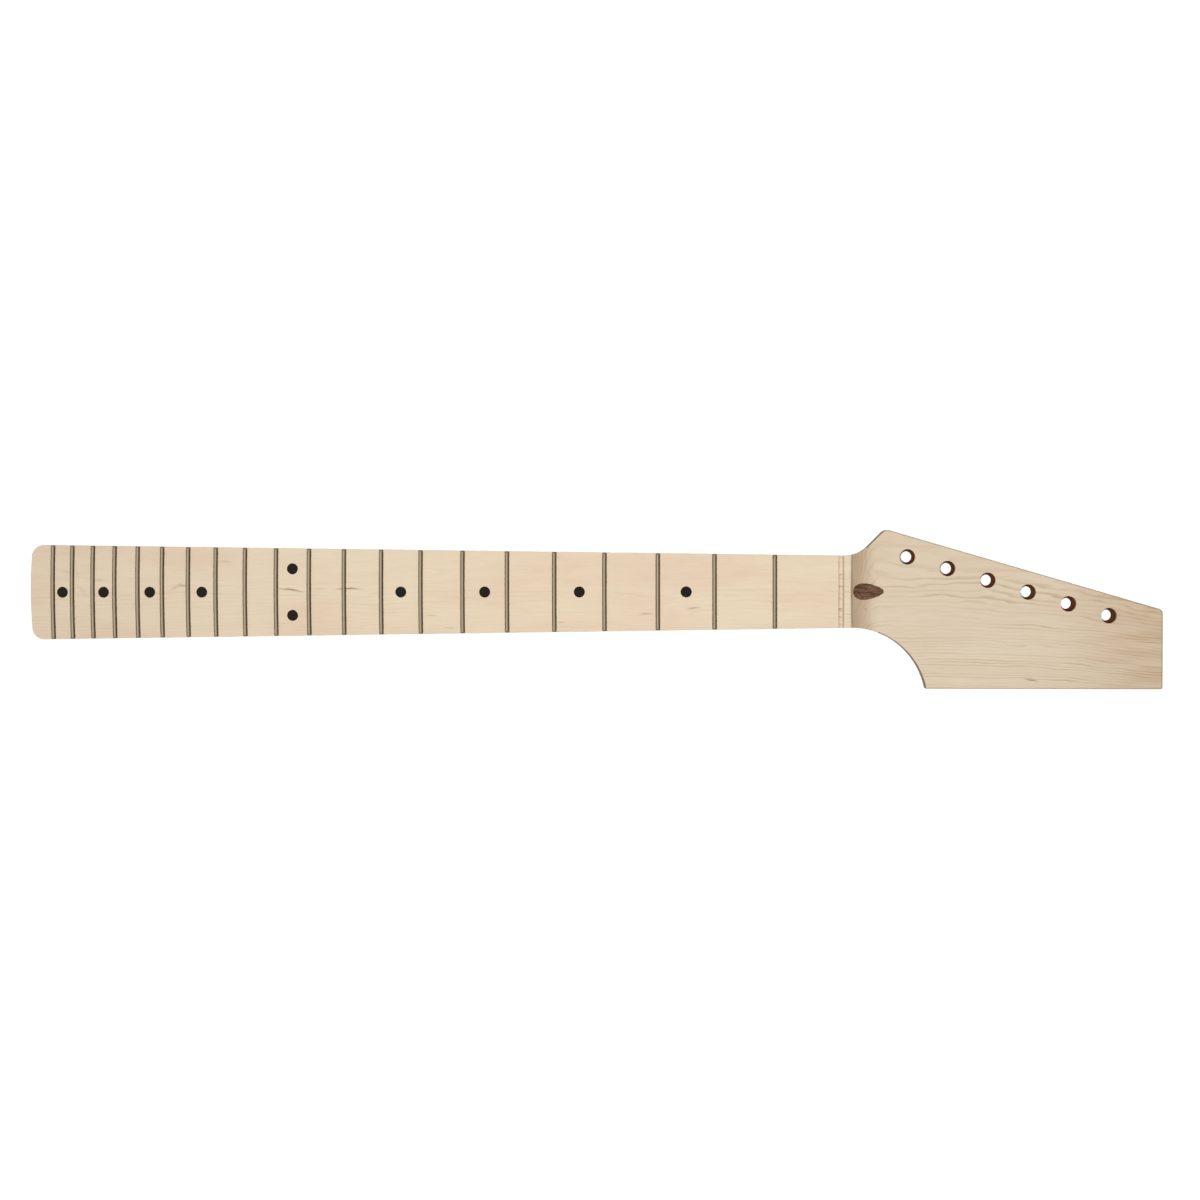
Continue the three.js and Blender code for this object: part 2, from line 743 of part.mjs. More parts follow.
// Dots are pressed in and sanded flush with the crown or the side
function addDots(prefix, places, makeSolid) {
  for (const place of places) {
    const pair = places.filter(({ number }) => number === place.number);
    const side = pair.length > 1 ? `_${'ab'[pair.indexOf(place)]}` : '';
    addPiece(`${prefix}_${twoDigits(place.number)}${side}`, makeSolid(place), blackPlastic);
  }
}
addDots('face_dot', dotPlaces(), (place) => (
  dotBar(place, dotDiameter, crownZ(place.y) - dotDepth).intersect(form)
));
addDots('side_dot', sideDotPlaces(), (place) => (
  sideDotBar(place, sideDotDiameter, sideDotDepth).intersect(form)
));

export default neck;
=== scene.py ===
"""Bare bolt-on electric guitar neck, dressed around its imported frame.

Metres. +X runs from the heel to the headstock, +Y is the bass side and +Z points out of the
playing face.
"""

import json
import math

import bmesh
import bpy
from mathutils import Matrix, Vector


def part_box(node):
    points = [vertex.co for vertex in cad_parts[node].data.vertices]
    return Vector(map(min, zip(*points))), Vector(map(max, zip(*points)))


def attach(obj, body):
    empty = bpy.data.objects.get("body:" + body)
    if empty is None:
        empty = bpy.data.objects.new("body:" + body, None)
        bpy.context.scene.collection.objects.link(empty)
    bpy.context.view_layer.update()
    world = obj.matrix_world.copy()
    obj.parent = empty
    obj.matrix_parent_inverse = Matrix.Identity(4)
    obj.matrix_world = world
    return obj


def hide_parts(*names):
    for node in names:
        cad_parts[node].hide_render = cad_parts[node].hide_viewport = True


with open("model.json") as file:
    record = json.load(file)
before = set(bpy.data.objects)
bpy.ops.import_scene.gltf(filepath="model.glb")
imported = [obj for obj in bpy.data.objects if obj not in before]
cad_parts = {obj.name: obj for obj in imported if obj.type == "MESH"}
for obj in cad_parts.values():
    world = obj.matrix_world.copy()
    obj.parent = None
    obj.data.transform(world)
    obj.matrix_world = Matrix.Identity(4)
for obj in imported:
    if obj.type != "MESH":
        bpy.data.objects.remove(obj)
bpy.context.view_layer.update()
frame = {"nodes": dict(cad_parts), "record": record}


# Neck
# One piece of hard maple, carved to heel, shaft and headstock with all its bores and slots, and
# sanded to bare wood. The arrises along its outline and round its tuner holes are broken with
# fine paper.

MM = 0.001
SAME_POINT = 0.001 * MM
SLIVER = 0.002 * MM
NECK_WELD = 0.03 * MM
SAME_PLANE = math.radians(0.1)
SMOOTH = math.radians(35)
SHARP = math.radians(40)
LOW_ANGLE = math.radians(8)
FACE_ARRIS = 0.9 * MM
BACK_ARRIS = 0.8 * MM
BOARD_ARRIS = 0.2 * MM
HEEL_BACK_ARRIS = 0.4 * MM
HOLE_ARRIS = 0.2 * MM

# Where the runs of edges lie: places along the neck, distances from its middle line, and heights
# that a run is over or under
HEEL_CORNER_X = -28 * MM
HEEL_BACK_END_X = 60 * MM
SHELF_END_X = 436.7 * MM
SHOULDER_X = 446 * MM
HORN_X = 452 * MM
CREST_X = 466 * MM
PLUG_REACH = 6 * MM
STRIPE_REACH = 8 * MM
BOARD_SIDE = 18 * MM
HEEL_BACK_UNDER = 2 * MM
HEAD_BACK_UNDER = 6 * MM
HEAD_FACE_OVER = 10 * MM
PLUG_RIM_OVER = 12 * MM
TUNER_MOUTH_OVER = 15 * MM
BOARD_RIM_OVER = 23 * MM


def select_only(piece):
    bpy.ops.object.select_all(action="DESELECT")
    piece.select_set(True)
    bpy.context.view_layer.objects.active = piece


def copy_node(node, name, weld):
    """A piece with a welded copy of a node's mesh, which is shown in the node's place."""
    piece = bpy.data.objects.new(name, frame["nodes"][node].data.copy())
    bpy.context.scene.collection.objects.link(piece)
    piece.data.materials.clear()
    select_only(piece)
    bpy.ops.mesh.customdata_custom_splitnormals_clear()
    bpy.ops.object.mode_set(mode="EDIT")
    bpy.ops.mesh.select_all(action="SELECT")
    bpy.ops.mesh.remove_doubles(threshold=SAME_POINT)
    bpy.ops.mesh.dissolve_limited(angle_limit=SAME_PLANE)
    bpy.ops.mesh.remove_doubles(threshold=weld)
    bpy.ops.object.mode_set(mode="OBJECT")
    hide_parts(node)
    return piece


def middle(edge):
    return (edge.verts[0].co + edge.verts[1].co) / 2


def pick_edges(chosen):
    """Selects the edges of the mesh in edit mode that a test picks."""
    bpy.context.tool_settings.mesh_select_mode = (False, True, False)
    bpy.ops.mesh.select_all(action="DESELECT")
    mesh = bmesh.from_edit_mesh(bpy.context.object.data)
    for edge in mesh.edges:
        edge.select_set(chosen(edge))
    bmesh.update_edit_mesh(bpy.context.object.data)


def round_edges(piece, chosen, width, segments, sharp=SHARP):
    """Bevels the sharp edges that a test picks."""
    select_only(piece)
    bpy.ops.object.mode_set(mode="EDIT")
    pick_edges(lambda edge: edge.is_manifold and edge.calc_face_angle() > sharp and chosen(edge))
    bpy.ops.mesh.bevel(offset=width, segments=segments, affect="EDGES", clamp_overlap=False)
    bpy.ops.mesh.select_all(action="SELECT")
    bpy.ops.mesh.dissolve_degenerate(threshold=SLIVER)
    bpy.ops.object.mode_set(mode="OBJECT")


def smooth(piece, rim=None):
    """Smooth shading over small angles, led by the large faces so that flats stay flat, and
    broken at all edges of a rim."""
    select_only(piece)
    bpy.ops.object.shade_smooth_by_angle(angle=SMOOTH)
    if rim:
        bpy.ops.object.mode_set(mode="EDIT")
        pick_edges(rim)
        bpy.ops.mesh.mark_sharp()
        bpy.ops.object.mode_set(mode="OBJECT")
    weighted = piece.modifiers.new("weighted_normals", "WEIGHTED_NORMAL")
    weighted.keep_sharp = True
    bpy.ops.object.modifier_apply(modifier=weighted.name)


# How far a face's normal points up or down: less than the first on a wall, more than the second
# on a flat
WALL_RISE = 0.3
FLAT_RISE = 0.5


def between_wall_and_flat(edge):
    """True where a wall meets a flat or the carved back."""
    steeper, flatter = sorted(abs(face.normal.z) for face in edge.link_faces)
    return steeper < WALL_RISE and flatter > FLAT_RISE


def on_head_face(edge):
    place = middle(edge)
    start = SHOULDER_X if place.y > 0 else HORN_X
    on_head = place.x > start and place.z > HEAD_FACE_OVER
    clear_of_plug = abs(place.y) > PLUG_REACH or place.x > CREST_X
    return between_wall_and_flat(edge) and on_head and clear_of_plug


def on_head_back(edge):
    place = middle(edge)
    return between_wall_and_flat(edge) and place.x > CREST_X and place.z < HEAD_BACK_UNDER


def on_board_rim(edge):
    """True on the playing face's two sides and round its end, and not at the slots' mouths."""
    place = middle(edge)
    run = edge.verts[1].co - edge.verts[0].co
    on_board = place.z > BOARD_RIM_OVER and place.x < SHELF_END_X
    along_side = abs(place.y) > BOARD_SIDE and abs(run.x) > abs(run.y)
    return between_wall_and_flat(edge) and on_board and (along_side or place.x < HEEL_CORNER_X)


def on_heel_back(edge):
    place = middle(edge)
    on_heel = place.x < HEEL_BACK_END_X and place.z < HEEL_BACK_UNDER
    clear_of_stripe = abs(place.y) > STRIPE_REACH or place.x < HEEL_CORNER_X
    return between_wall_and_flat(edge) and on_heel and clear_of_stripe


def on_plug_rim(edge):
    """True also at the teardrop's tip, where the slanted bore meets the face at a low angle."""
    place = middle(edge)
    near_plug = abs(place.y) < PLUG_REACH and SHELF_END_X < place.x < CREST_X
    return (near_plug and place.z > PLUG_RIM_OVER
            and edge.is_manifold and edge.calc_face_angle() > LOW_ANGLE)


def tuner_centres():
    """The middles of the tuner holes, from the openings that the record states."""
    openings = frame["record"]["physics"]["openings"]
    boxes = [o["box_m"] for o in openings if o["name"].startswith("tuner_post")]
    return [(Vector(low) + Vector(high)) / 2 for low, high in boxes]


TUNER_CENTRES = tuner_centres()
TUNER_REACH = 5 * MM


def at_tuner_hole(edge):
    return any((middle(edge) - centre).xy.length < TUNER_REACH for centre in TUNER_CENTRES)


def outside_holes(chosen):
    return lambda edge: chosen(edge) and not at_tuner_hole(edge)


def on_tuner_mouth(edge):
    over = middle(edge).z > TUNER_MOUTH_OVER
    return between_wall_and_flat(edge) and at_tuner_hole(edge) and over


def linear(colour):
    """Linear RGBA of an sRGB hex colour."""
    parts = [int(colour[start:start + 2], 16) / 255 for start in (1, 3, 5)]
    return [p / 12.92 if p <= 0.04045 else ((p + 0.055) / 1.055) ** 2.4 for p in parts] + [1.0]


def new_material(name):
    material = bpy.data.materials.new(name)
    material.use_nodes = True
    material.node_tree.nodes.clear()
    return material


def add(material, kind, inputs=None, output=0, **settings):
    """Adds a shader node with its settings and links, and gives back one of its outputs."""
    node = material.node_tree.nodes.new(kind)
    for name, value in settings.items():
        setattr(node, name, value)
    for key, value in (inputs or {}).items():
        if isinstance(value, bpy.types.NodeSocket):
            material.node_tree.links.new(value, node.inputs[key])
        else:
            node.inputs[key].default_value = value
    return node.outputs[output] if len(node.outputs) else node


# Hard maple: pale cream wood with fine brown growth lines, faint warm clouds and short mineral
# streaks. The board is sawn almost along its rings, so the lines run long and wavy on the flats
# and gather into arcs where the scoop cuts down through them. Where a tool cut across the fibres
# the end grain looks darker. Painted shade darkens the shoulder's and the horn's walls that face
# the heel, the headstock's rounded arris, the nut slot's far corner and the tuner holes.
MAPLE_PALE = "#E9D8BD"
MAPLE_WARM = "#E6D0B6"
MAPLE_GREY = "#CCC6B2"
MAPLE_ROSY = "#D9AF8A"
MAPLE_LINE = "#AF8F68"
MAPLE_BROWN = "#B99773"
MAPLE_END = "#9A754C"
# The next three colours are painted shade: on walls and in the nut slot, and at the mouths and
# depths of the tuner bores
MAPLE_SHADE_BROWN = "#4E3A29"
MAPLE_BORE_MOUTH_SHADE = "#CDAE8C"
MAPLE_BORE_SHADE = "#6C3B22"
MINERAL = "#8A5A40"
FACE_HEIGHT = 25.4 * MM
HEAD_HEIGHT = 16.7 * MM
HEAD_MIDDLE = 9.55 * MM
HEAD_HALF_DEPTH = 6.9 * MM
GRAIN_ROUGHNESS = 0.55


def along_grain(material, place, length, width, detail):
    """Noise drawn out along the fibres, whose patches have this length and width."""
    scaled = add(material, "ShaderNodeMapping", {
        "Vector": place, "Scale": (1 / length, 1 / width, 1 / width),
    })
    return add(material, "ShaderNodeTexNoise", {
        "Vector": scaled, "Scale": 1.0, "Detail": detail, "Roughness": GRAIN_ROUGHNESS,
    }, output="Fac")


CLOUD_LENGTH = 70 * MM
CLOUD_WIDTH = 16 * MM


def clouds(wood, place):
    """0 in the pale wood, 1 in the middle of a warm cloud."""
    cloud = along_grain(wood, place, CLOUD_LENGTH, CLOUD_WIDTH, detail=3.0)
    return add(wood, "ShaderNodeMapRange", {"Value": cloud, "From Min": 0.38, "From Max": 0.62})


# The headstock is a shade greyer than the board, and warmer towards its slanted edge beside the
# tuners
HEAD_FADE = 2 * MM
HEAD_GREY = 0.3
TUNER_SLANT = (0.263, 0.965, 0)
ROSY_START = 112 * MM
ROSY_FULL = 145 * MM
EDGE_ROSY = 0.075


def headstock_tones(wood, place, x):
    """How grey and how rosy the headstock is."""
    on_head = add(wood, "ShaderNodeMapRange", {
        "Value": x, "From Min": SHELF_END_X - HEAD_FADE, "From Max": SHELF_END_X + HEAD_FADE,
    })
    grey = add(wood, "ShaderNodeMath", {0: on_head, 1: HEAD_GREY}, operation="MULTIPLY")
    slant = add(wood, "ShaderNodeVectorMath", {
        0: place, 1: TUNER_SLANT,
    }, output="Value", operation="DOT_PRODUCT")
    rosy = add(wood, "ShaderNodeMapRange", {
        "Value": slant, "From Min": ROSY_START, "From Max": ROSY_FULL, "To Max": EDGE_ROSY,
    })
    rosy = add(wood, "ShaderNodeMath", {0: rosy, 1: on_head}, operation="MULTIPLY")
    return grey, rosy


# The rings: their distance, the middle that they lie round, how they bend away along the
# headstock, and their sways, each a length, a width and a swing. Late wood starts and is fullest
# at these shares of a year.
RING_SPACING = 0.8 * MM
RING_CENTRE = (0, 30 * MM, 150 * MM)
RING_BEND_X = 480 * MM
RING_BEND = 0.21
RING_SWAYS = (
    (120 * MM, 35 * MM, 3.2 * MM), (22 * MM, 8 * MM, 1.1 * MM), (30 * MM, 3 * MM, 0.8 * MM),
    (7 * MM, 3 * MM, 0.2 * MM),
)
LATE_START = 0.4
LATE_FULL = 0.88
FAINTEST_YEAR = 0.2


def growth_lines(wood, place, x):
    """Brown late wood that ends each year's ring: 0 in early wood, up to 1 at the line."""
    across = add(wood, "ShaderNodeVectorMath", {0: place, 1: RING_CENTRE}, operation="SUBTRACT")
    across = add(wood, "ShaderNodeVectorMath", {0: across, 1: (0, 1, 1)}, operation="MULTIPLY")
    radius = add(wood, "ShaderNodeVectorMath", {0: across}, output="Value", operation="LENGTH")
    bend = add(wood, "ShaderNodeMath", {0: x, 1: RING_BEND_X}, operation="SUBTRACT")
    bend = add(wood, "ShaderNodeMath", {0: bend, 1: 0.0}, operation="MAXIMUM")
    bend = add(wood, "ShaderNodeMath", {0: bend, 1: 2.0}, operation="POWER")
    radius = add(wood, "ShaderNodeMath", {
        0: bend, 1: -RING_BEND, 2: radius,
    }, operation="MULTIPLY_ADD")
    for length, width, swing in RING_SWAYS:
        sway = along_grain(wood, place, length, width, detail=1.0)
        radius = add(wood, "ShaderNodeMath", {
            0: sway, 1: swing, 2: radius,
        }, operation="MULTIPLY_ADD")
    year = add(wood, "ShaderNodeMath", {0: radius, 1: RING_SPACING}, operation="DIVIDE")
    season = add(wood, "ShaderNodeMath", {0: year}, operation="FRACT")
    late = add(wood, "ShaderNodeMapRange", {
        "Value": season, "From Min": LATE_START, "From Max": LATE_FULL,
    }, interpolation_type="SMOOTHSTEP")
    end = add(wood, "ShaderNodeMapRange", {
        "Value": season, "From Min": 1.0, "From Max": LATE_FULL,
    }, interpolation_type="SMOOTHSTEP")
    line = add(wood, "ShaderNodeMath", {0: late, 1: end}, operation="MULTIPLY")
    whole = add(wood, "ShaderNodeMath", {0: year}, operation="FLOOR")
    luck = add(wood, "ShaderNodeTexWhiteNoise", {"W": whole}, output="Value", noise_dimensions="1D")
    luck = add(wood, "ShaderNodeMapRange", {"Value": luck, "To Min": FAINTEST_YEAR, "To Max": 1.0})
    return add(wood, "ShaderNodeMath", {0: line, 1: luck}, operation="MULTIPLY")


# How plain the lines are: faint under the strings and plain on the headstock, with this much
# more at its browner end and in the scoop. Bands along the grain fade them in places.
FACE_LINES = 0.16
HEAD_LINES = 0.55
END_LINES = 0.28
SCOOP_LINES = 0.35
LINES_START_X = 430 * MM
LINES_FULL_X = 440 * MM
BROWN_START_X = 545 * MM
BROWN_FULL_X = 613 * MM
BAND_LENGTH = 45 * MM
BAND_WIDTH = 5 * MM


def figure(wood, place, x, lean):
    """How strong the growth lines are, and how brown the headstock's end is."""
    strength = add(wood, "ShaderNodeMapRange", {
        "Value": x, "From Min": LINES_START_X, "From Max": LINES_FULL_X,
        "To Min": FACE_LINES, "To Max": HEAD_LINES,
    })
    at_end = add(wood, "ShaderNodeMapRange", {
        "Value": x, "From Min": BROWN_START_X, "From Max": BROWN_FULL_X,
    }, interpolation_type="SMOOTHSTEP")
    strength = add(wood, "ShaderNodeMath", {
        0: at_end, 1: END_LINES, 2: strength,
    }, operation="MULTIPLY_ADD")
    in_scoop = add(wood, "ShaderNodeMapRange", {
        "Value": lean, "From Min": 0.08, "From Max": 0.3, "To Max": SCOOP_LINES,
    })
    strength = add(wood, "ShaderNodeMath", {0: strength, 1: in_scoop}, operation="ADD")
    lines = growth_lines(wood, place, x)
    lines = add(wood, "ShaderNodeMath", {0: lines, 1: strength}, operation="MULTIPLY")
    band = along_grain(wood, place, BAND_LENGTH, BAND_WIDTH, detail=2.0)
    fading = add(wood, "ShaderNodeMapRange", {
        "Value": band, "From Min": 0.35, "From Max": 0.6, "To Min": 0.25, "To Max": 1.0,
    })
    lines = add(wood, "ShaderNodeMath", {0: lines, 1: fading}, operation="MULTIPLY")
    brown = add(wood, "ShaderNodeMapRange", {
        "Value": band, "From Min": 0.35, "From Max": 0.65, "To Min": 0.25, "To Max": 0.5,
    })
    brown = add(wood, "ShaderNodeMath", {0: brown, 1: at_end}, operation="MULTIPLY")
    return lines, brown


# Mineral streaks: middle x and y and length in mm, turn in degrees, width in mm, and strength
MINERAL_STREAKS = [
    (115.0, 1.4, 23.0, -7.7, 1.7, 0.75), (131.2, 1.8, 12.0, 0.0, 1.6, 0.26),
    (48.0, 3.3, 13.0, 37.6, 3.0, 0.22), (51.0, 4.0, 10.0, -6.0, 2.4, 0.42),
    (-7.5, 0.7, 13.0, -40.8, 4.0, 0.12), (2.5, 7.1, 12.0, 0.0, 3.0, 0.16),
    (-14.0, 11.8, 30.0, -5.5, 2.2, 0.14), (76.8, 18.0, 13.0, 0.0, 2.0, 0.18),
    (148.6, 1.8, 22.0, -1.0, 1.6, 0.78), (196.8, -13.2, 10.0, 0.0, 1.4, 0.24),
    (207.2, -20.1, 12.0, 0.0, 1.4, 0.30), (271.4, -17.2, 6.0, 0.0, 1.5, 0.36),
    (320.2, -12.4, 12.0, 0.0, 1.5, 0.42), (347.4, -9.2, 12.0, 8.0, 1.7, 0.46),
    (539.5, -50.5, 11.0, -8.6, 1.1, 0.80), (606.5, -28.8, 26.0, -3.0, 1.1, 0.45),
    (604.9, -43.0, 18.0, -4.5, 1.4, 0.20), (445.1, -9.9, 5.6, -33.0, 2.0, 0.34),
]
STREAK_DEPTH = 4 * MM
WANDER_LENGTH = 8 * MM
WANDER = 1.2 * MM


def mineral_streak(wood, place, streak):
    """A thin lens lying near the surface, strongest in its middle."""
    x, y, length, turn, width, strength = streak
    height = FACE_HEIGHT if x * MM < SHELF_END_X else HEAD_HEIGHT
    local = add(wood, "ShaderNodeMapping", {
        "Vector": place, "Location": (x * MM, y * MM, height),
        "Rotation": (0, 0, math.radians(turn)),
        "Scale": (length * MM / 2, width * MM / 2, STREAK_DEPTH),
    }, vector_type="TEXTURE")
    reach = add(wood, "ShaderNodeVectorMath", {0: local}, output="Value", operation="LENGTH")
    return add(wood, "ShaderNodeMapRange", {
        "Value": reach, "From Min": 1.0, "From Max": 0.0, "To Max": strength,
    }, interpolation_type="SMOOTHSTEP")


def minerals(wood, place):
    """All the streaks, which wander a little to both sides as the fibres do."""
    wander = add(wood, "ShaderNodeTexNoise", {
        "Vector": place, "Scale": 1 / WANDER_LENGTH, "Detail": 3.0,
    }, output="Color")
    wander = add(wood, "ShaderNodeVectorMath", {
        0: wander, 1: (0, 2 * WANDER, 0), 2: (0, -WANDER, 0),
    }, operation="MULTIPLY_ADD")
    bent = add(wood, "ShaderNodeVectorMath", {0: place, 1: wander}, operation="ADD")
    mineral = 0.0
    for streak in MINERAL_STREAKS:
        lens = mineral_streak(wood, bent, streak)
        mineral = add(wood, "ShaderNodeMath", {0: lens, 1: mineral}, operation="MAXIMUM")
    return mineral


# How much darker end grain is, how much of that a sawn wall keeps, how strong the painted shade is
# on the walls facing the heel and on the headstock's arris, and where along the neck each is at
# full strength
END_GRAIN = 0.5
SAWN_SHARE = 0.3
WALL_SHADE = 0.85
WALL_SHADE_FULL_X = SHELF_END_X + 10 * MM
ARRIS_SHADE = 0.4
ARRIS_SHADE_FULL_X = SHOULDER_X + 4 * MM


def across_fibres(wood, lean, upright):
    """End grain, plain where the scoop cuts down through the fibres, less so on sawn walls."""
    end_grain = add(wood, "ShaderNodeMath", {0: lean}, operation="ABSOLUTE")
    end_grain = add(wood, "ShaderNodeMapRange", {
        "Value": end_grain, "From Min": 0.04, "From Max": 0.6, "To Max": END_GRAIN,
    })
    sawn = add(wood, "ShaderNodeMapRange", {
        "Value": upright, "From Min": 0.9, "From Max": 0.5, "To Min": 1.0, "To Max": SAWN_SHARE,
    })
    return add(wood, "ShaderNodeMath", {0: end_grain, 1: sawn}, operation="MULTIPLY")


def painted_wall_shade(wood, x, lean, upright):
    """Painted shade on the walls of the shoulder and the horn that face the heel."""
    facing_heel = add(wood, "ShaderNodeMapRange", {
        "Value": lean, "From Max": -0.25, "To Max": WALL_SHADE,
    })
    steep = add(wood, "ShaderNodeMapRange", {"Value": upright, "From Min": 0.985, "From Max": 0.8})
    walls = add(wood, "ShaderNodeMath", {0: facing_heel, 1: steep}, operation="MULTIPLY")
    past_shelf = add(wood, "ShaderNodeMapRange", {
        "Value": x, "From Min": SHELF_END_X, "From Max": WALL_SHADE_FULL_X,
    })
    return add(wood, "ShaderNodeMath", {0: walls, 1: past_shelf}, operation="MULTIPLY")


def painted_arris_shade(wood, x, upright):
    """Painted shade on the headstock's edge and its rounded arris, which tilt away from the face.
    """
    edge = add(wood, "ShaderNodeMapRange", {
        "Value": upright, "From Min": 0.98, "From Max": 0.8, "To Max": ARRIS_SHADE,
    })
    past_scoop = add(wood, "ShaderNodeMapRange", {
        "Value": x, "From Min": SHELF_END_X, "From Max": ARRIS_SHADE_FULL_X,
    }, interpolation_type="SMOOTHSTEP")
    return add(wood, "ShaderNodeMath", {0: edge, 1: past_scoop}, operation="MULTIPLY")


SLOT_MIDDLE_X = 431.43 * MM
SLOT_WIDTH = 3.2 * MM
SLOT_FLOOR = 22.2 * MM
SLOT_FLOOR_GIVE = 0.1 * MM
# The far corner of the slot's floor gets painted shade
CORNER_START_X = SLOT_MIDDLE_X + 0.4 * MM
CORNER_FULL_X = SLOT_MIDDLE_X + 1.0 * MM
CORNER_SHADE = 0.3
TORN_LENGTH = 6 * MM
TORN_WIDTH = 1.2 * MM
TORN_FIBRES = 0.45


def slot_shade_and_marks(wood, place, x):
    """Painted shade in the far corner of the nut slot's floor, and torn fibres in a few marks
    across it."""
    height = add(wood, "ShaderNodeSeparateXYZ", {0: place}, output="Z")
    floor = add(wood, "ShaderNodeMath", {
        0: height, 1: SLOT_FLOOR, 2: SLOT_FLOOR_GIVE,
    }, operation="COMPARE")
    inside = add(wood, "ShaderNodeMath", {
        0: x, 1: SLOT_MIDDLE_X, 2: SLOT_WIDTH / 2,
    }, operation="COMPARE")
    corner = add(wood, "ShaderNodeMapRange", {
        "Value": x, "From Min": CORNER_START_X, "From Max": CORNER_FULL_X, "To Max": CORNER_SHADE,
    })
    torn = along_grain(wood, place, TORN_LENGTH, TORN_WIDTH, detail=1.0)
    torn = add(wood, "ShaderNodeMapRange", {
        "Value": torn, "From Min": 0.55, "From Max": 0.75, "To Max": TORN_FIBRES,
    })
    corner_shade_and_marks = add(wood, "ShaderNodeMath", {0: corner, 1: torn}, operation="MAXIMUM")
    corner_shade_and_marks = add(wood, "ShaderNodeMath", {0: corner_shade_and_marks, 1: floor}, operation="MULTIPLY")
    return add(wood, "ShaderNodeMath", {0: corner_shade_and_marks, 1: inside}, operation="MULTIPLY")


# Painted shade darkens the bores' walls, less towards their mouths, and a painted shadow lies on
# their ledges all but on the heel's side
BORE_RADIUS = 4.6 * MM
BORE_WALL_RISE = 0.5
LEDGE_SHADOW_SHIFT = 1.45 * MM
BORE_SHADE_DEPTH = 8 * MM


def inside_tuner_bores(wood, place, shift):
    """1 inside the tuner bores' circles at the depths of the headstock, 0 elsewhere. A shift
    moves the circles towards the headstock's end."""
    height = add(wood, "ShaderNodeSeparateXYZ", {0: place}, output="Z")
    within = add(wood, "ShaderNodeMath", {
        0: height, 1: HEAD_MIDDLE, 2: HEAD_HALF_DEPTH,
    }, operation="COMPARE")
    flat = add(wood, "ShaderNodeVectorMath", {0: place, 1: (1, 1, 0)}, operation="MULTIPLY")
    inside = 0.0
    for centre in TUNER_CENTRES:
        reach = add(wood, "ShaderNodeVectorMath", {
            0: flat, 1: (centre.x + shift, centre.y, 0),
        }, output="Value", operation="DISTANCE")
        near = add(wood, "ShaderNodeMath", {0: reach, 1: BORE_RADIUS}, operation="LESS_THAN")
        inside = add(wood, "ShaderNodeMath", {0: near, 1: inside}, operation="MAXIMUM")
    return add(wood, "ShaderNodeMath", {0: inside, 1: within}, operation="MULTIPLY")


def shaded_bores(wood, place, upright):
    """1 on the bores' walls and ledges that painted shade darkens, 0 elsewhere."""
    steep = add(wood, "ShaderNodeMath", {0: upright, 1: BORE_WALL_RISE}, operation="LESS_THAN")
    walls = inside_tuner_bores(wood, place, 0)
    walls = add(wood, "ShaderNodeMath", {0: walls, 1: steep}, operation="MULTIPLY")
    ledges = inside_tuner_bores(wood, place, LEDGE_SHADOW_SHIFT)
    return add(wood, "ShaderNodeMath", {0: walls, 1: ledges}, operation="MAXIMUM")


def bore_shade_colour(wood, place):
    """Painted shade, lighter at the bores' mouths and darker further down."""
    height = add(wood, "ShaderNodeSeparateXYZ", {0: place}, output="Z")
    deep = add(wood, "ShaderNodeMapRange", {
        "Value": height, "From Min": HEAD_HEIGHT, "From Max": HEAD_HEIGHT - BORE_SHADE_DEPTH,
    })
    return add(wood, "ShaderNodeMix", {
        0: deep, 6: linear(MAPLE_BORE_MOUTH_SHADE), 7: linear(MAPLE_BORE_SHADE),
    }, output=2, data_type="RGBA")


# Fibres are drawn in bundles, because single ones are too fine to show
FIBRE_LENGTH = 9 * MM
FIBRE_WIDTH = 0.45 * MM
FIBRE_LINES = 0.12
FIBRE_HEIGHT = 0.02 * MM


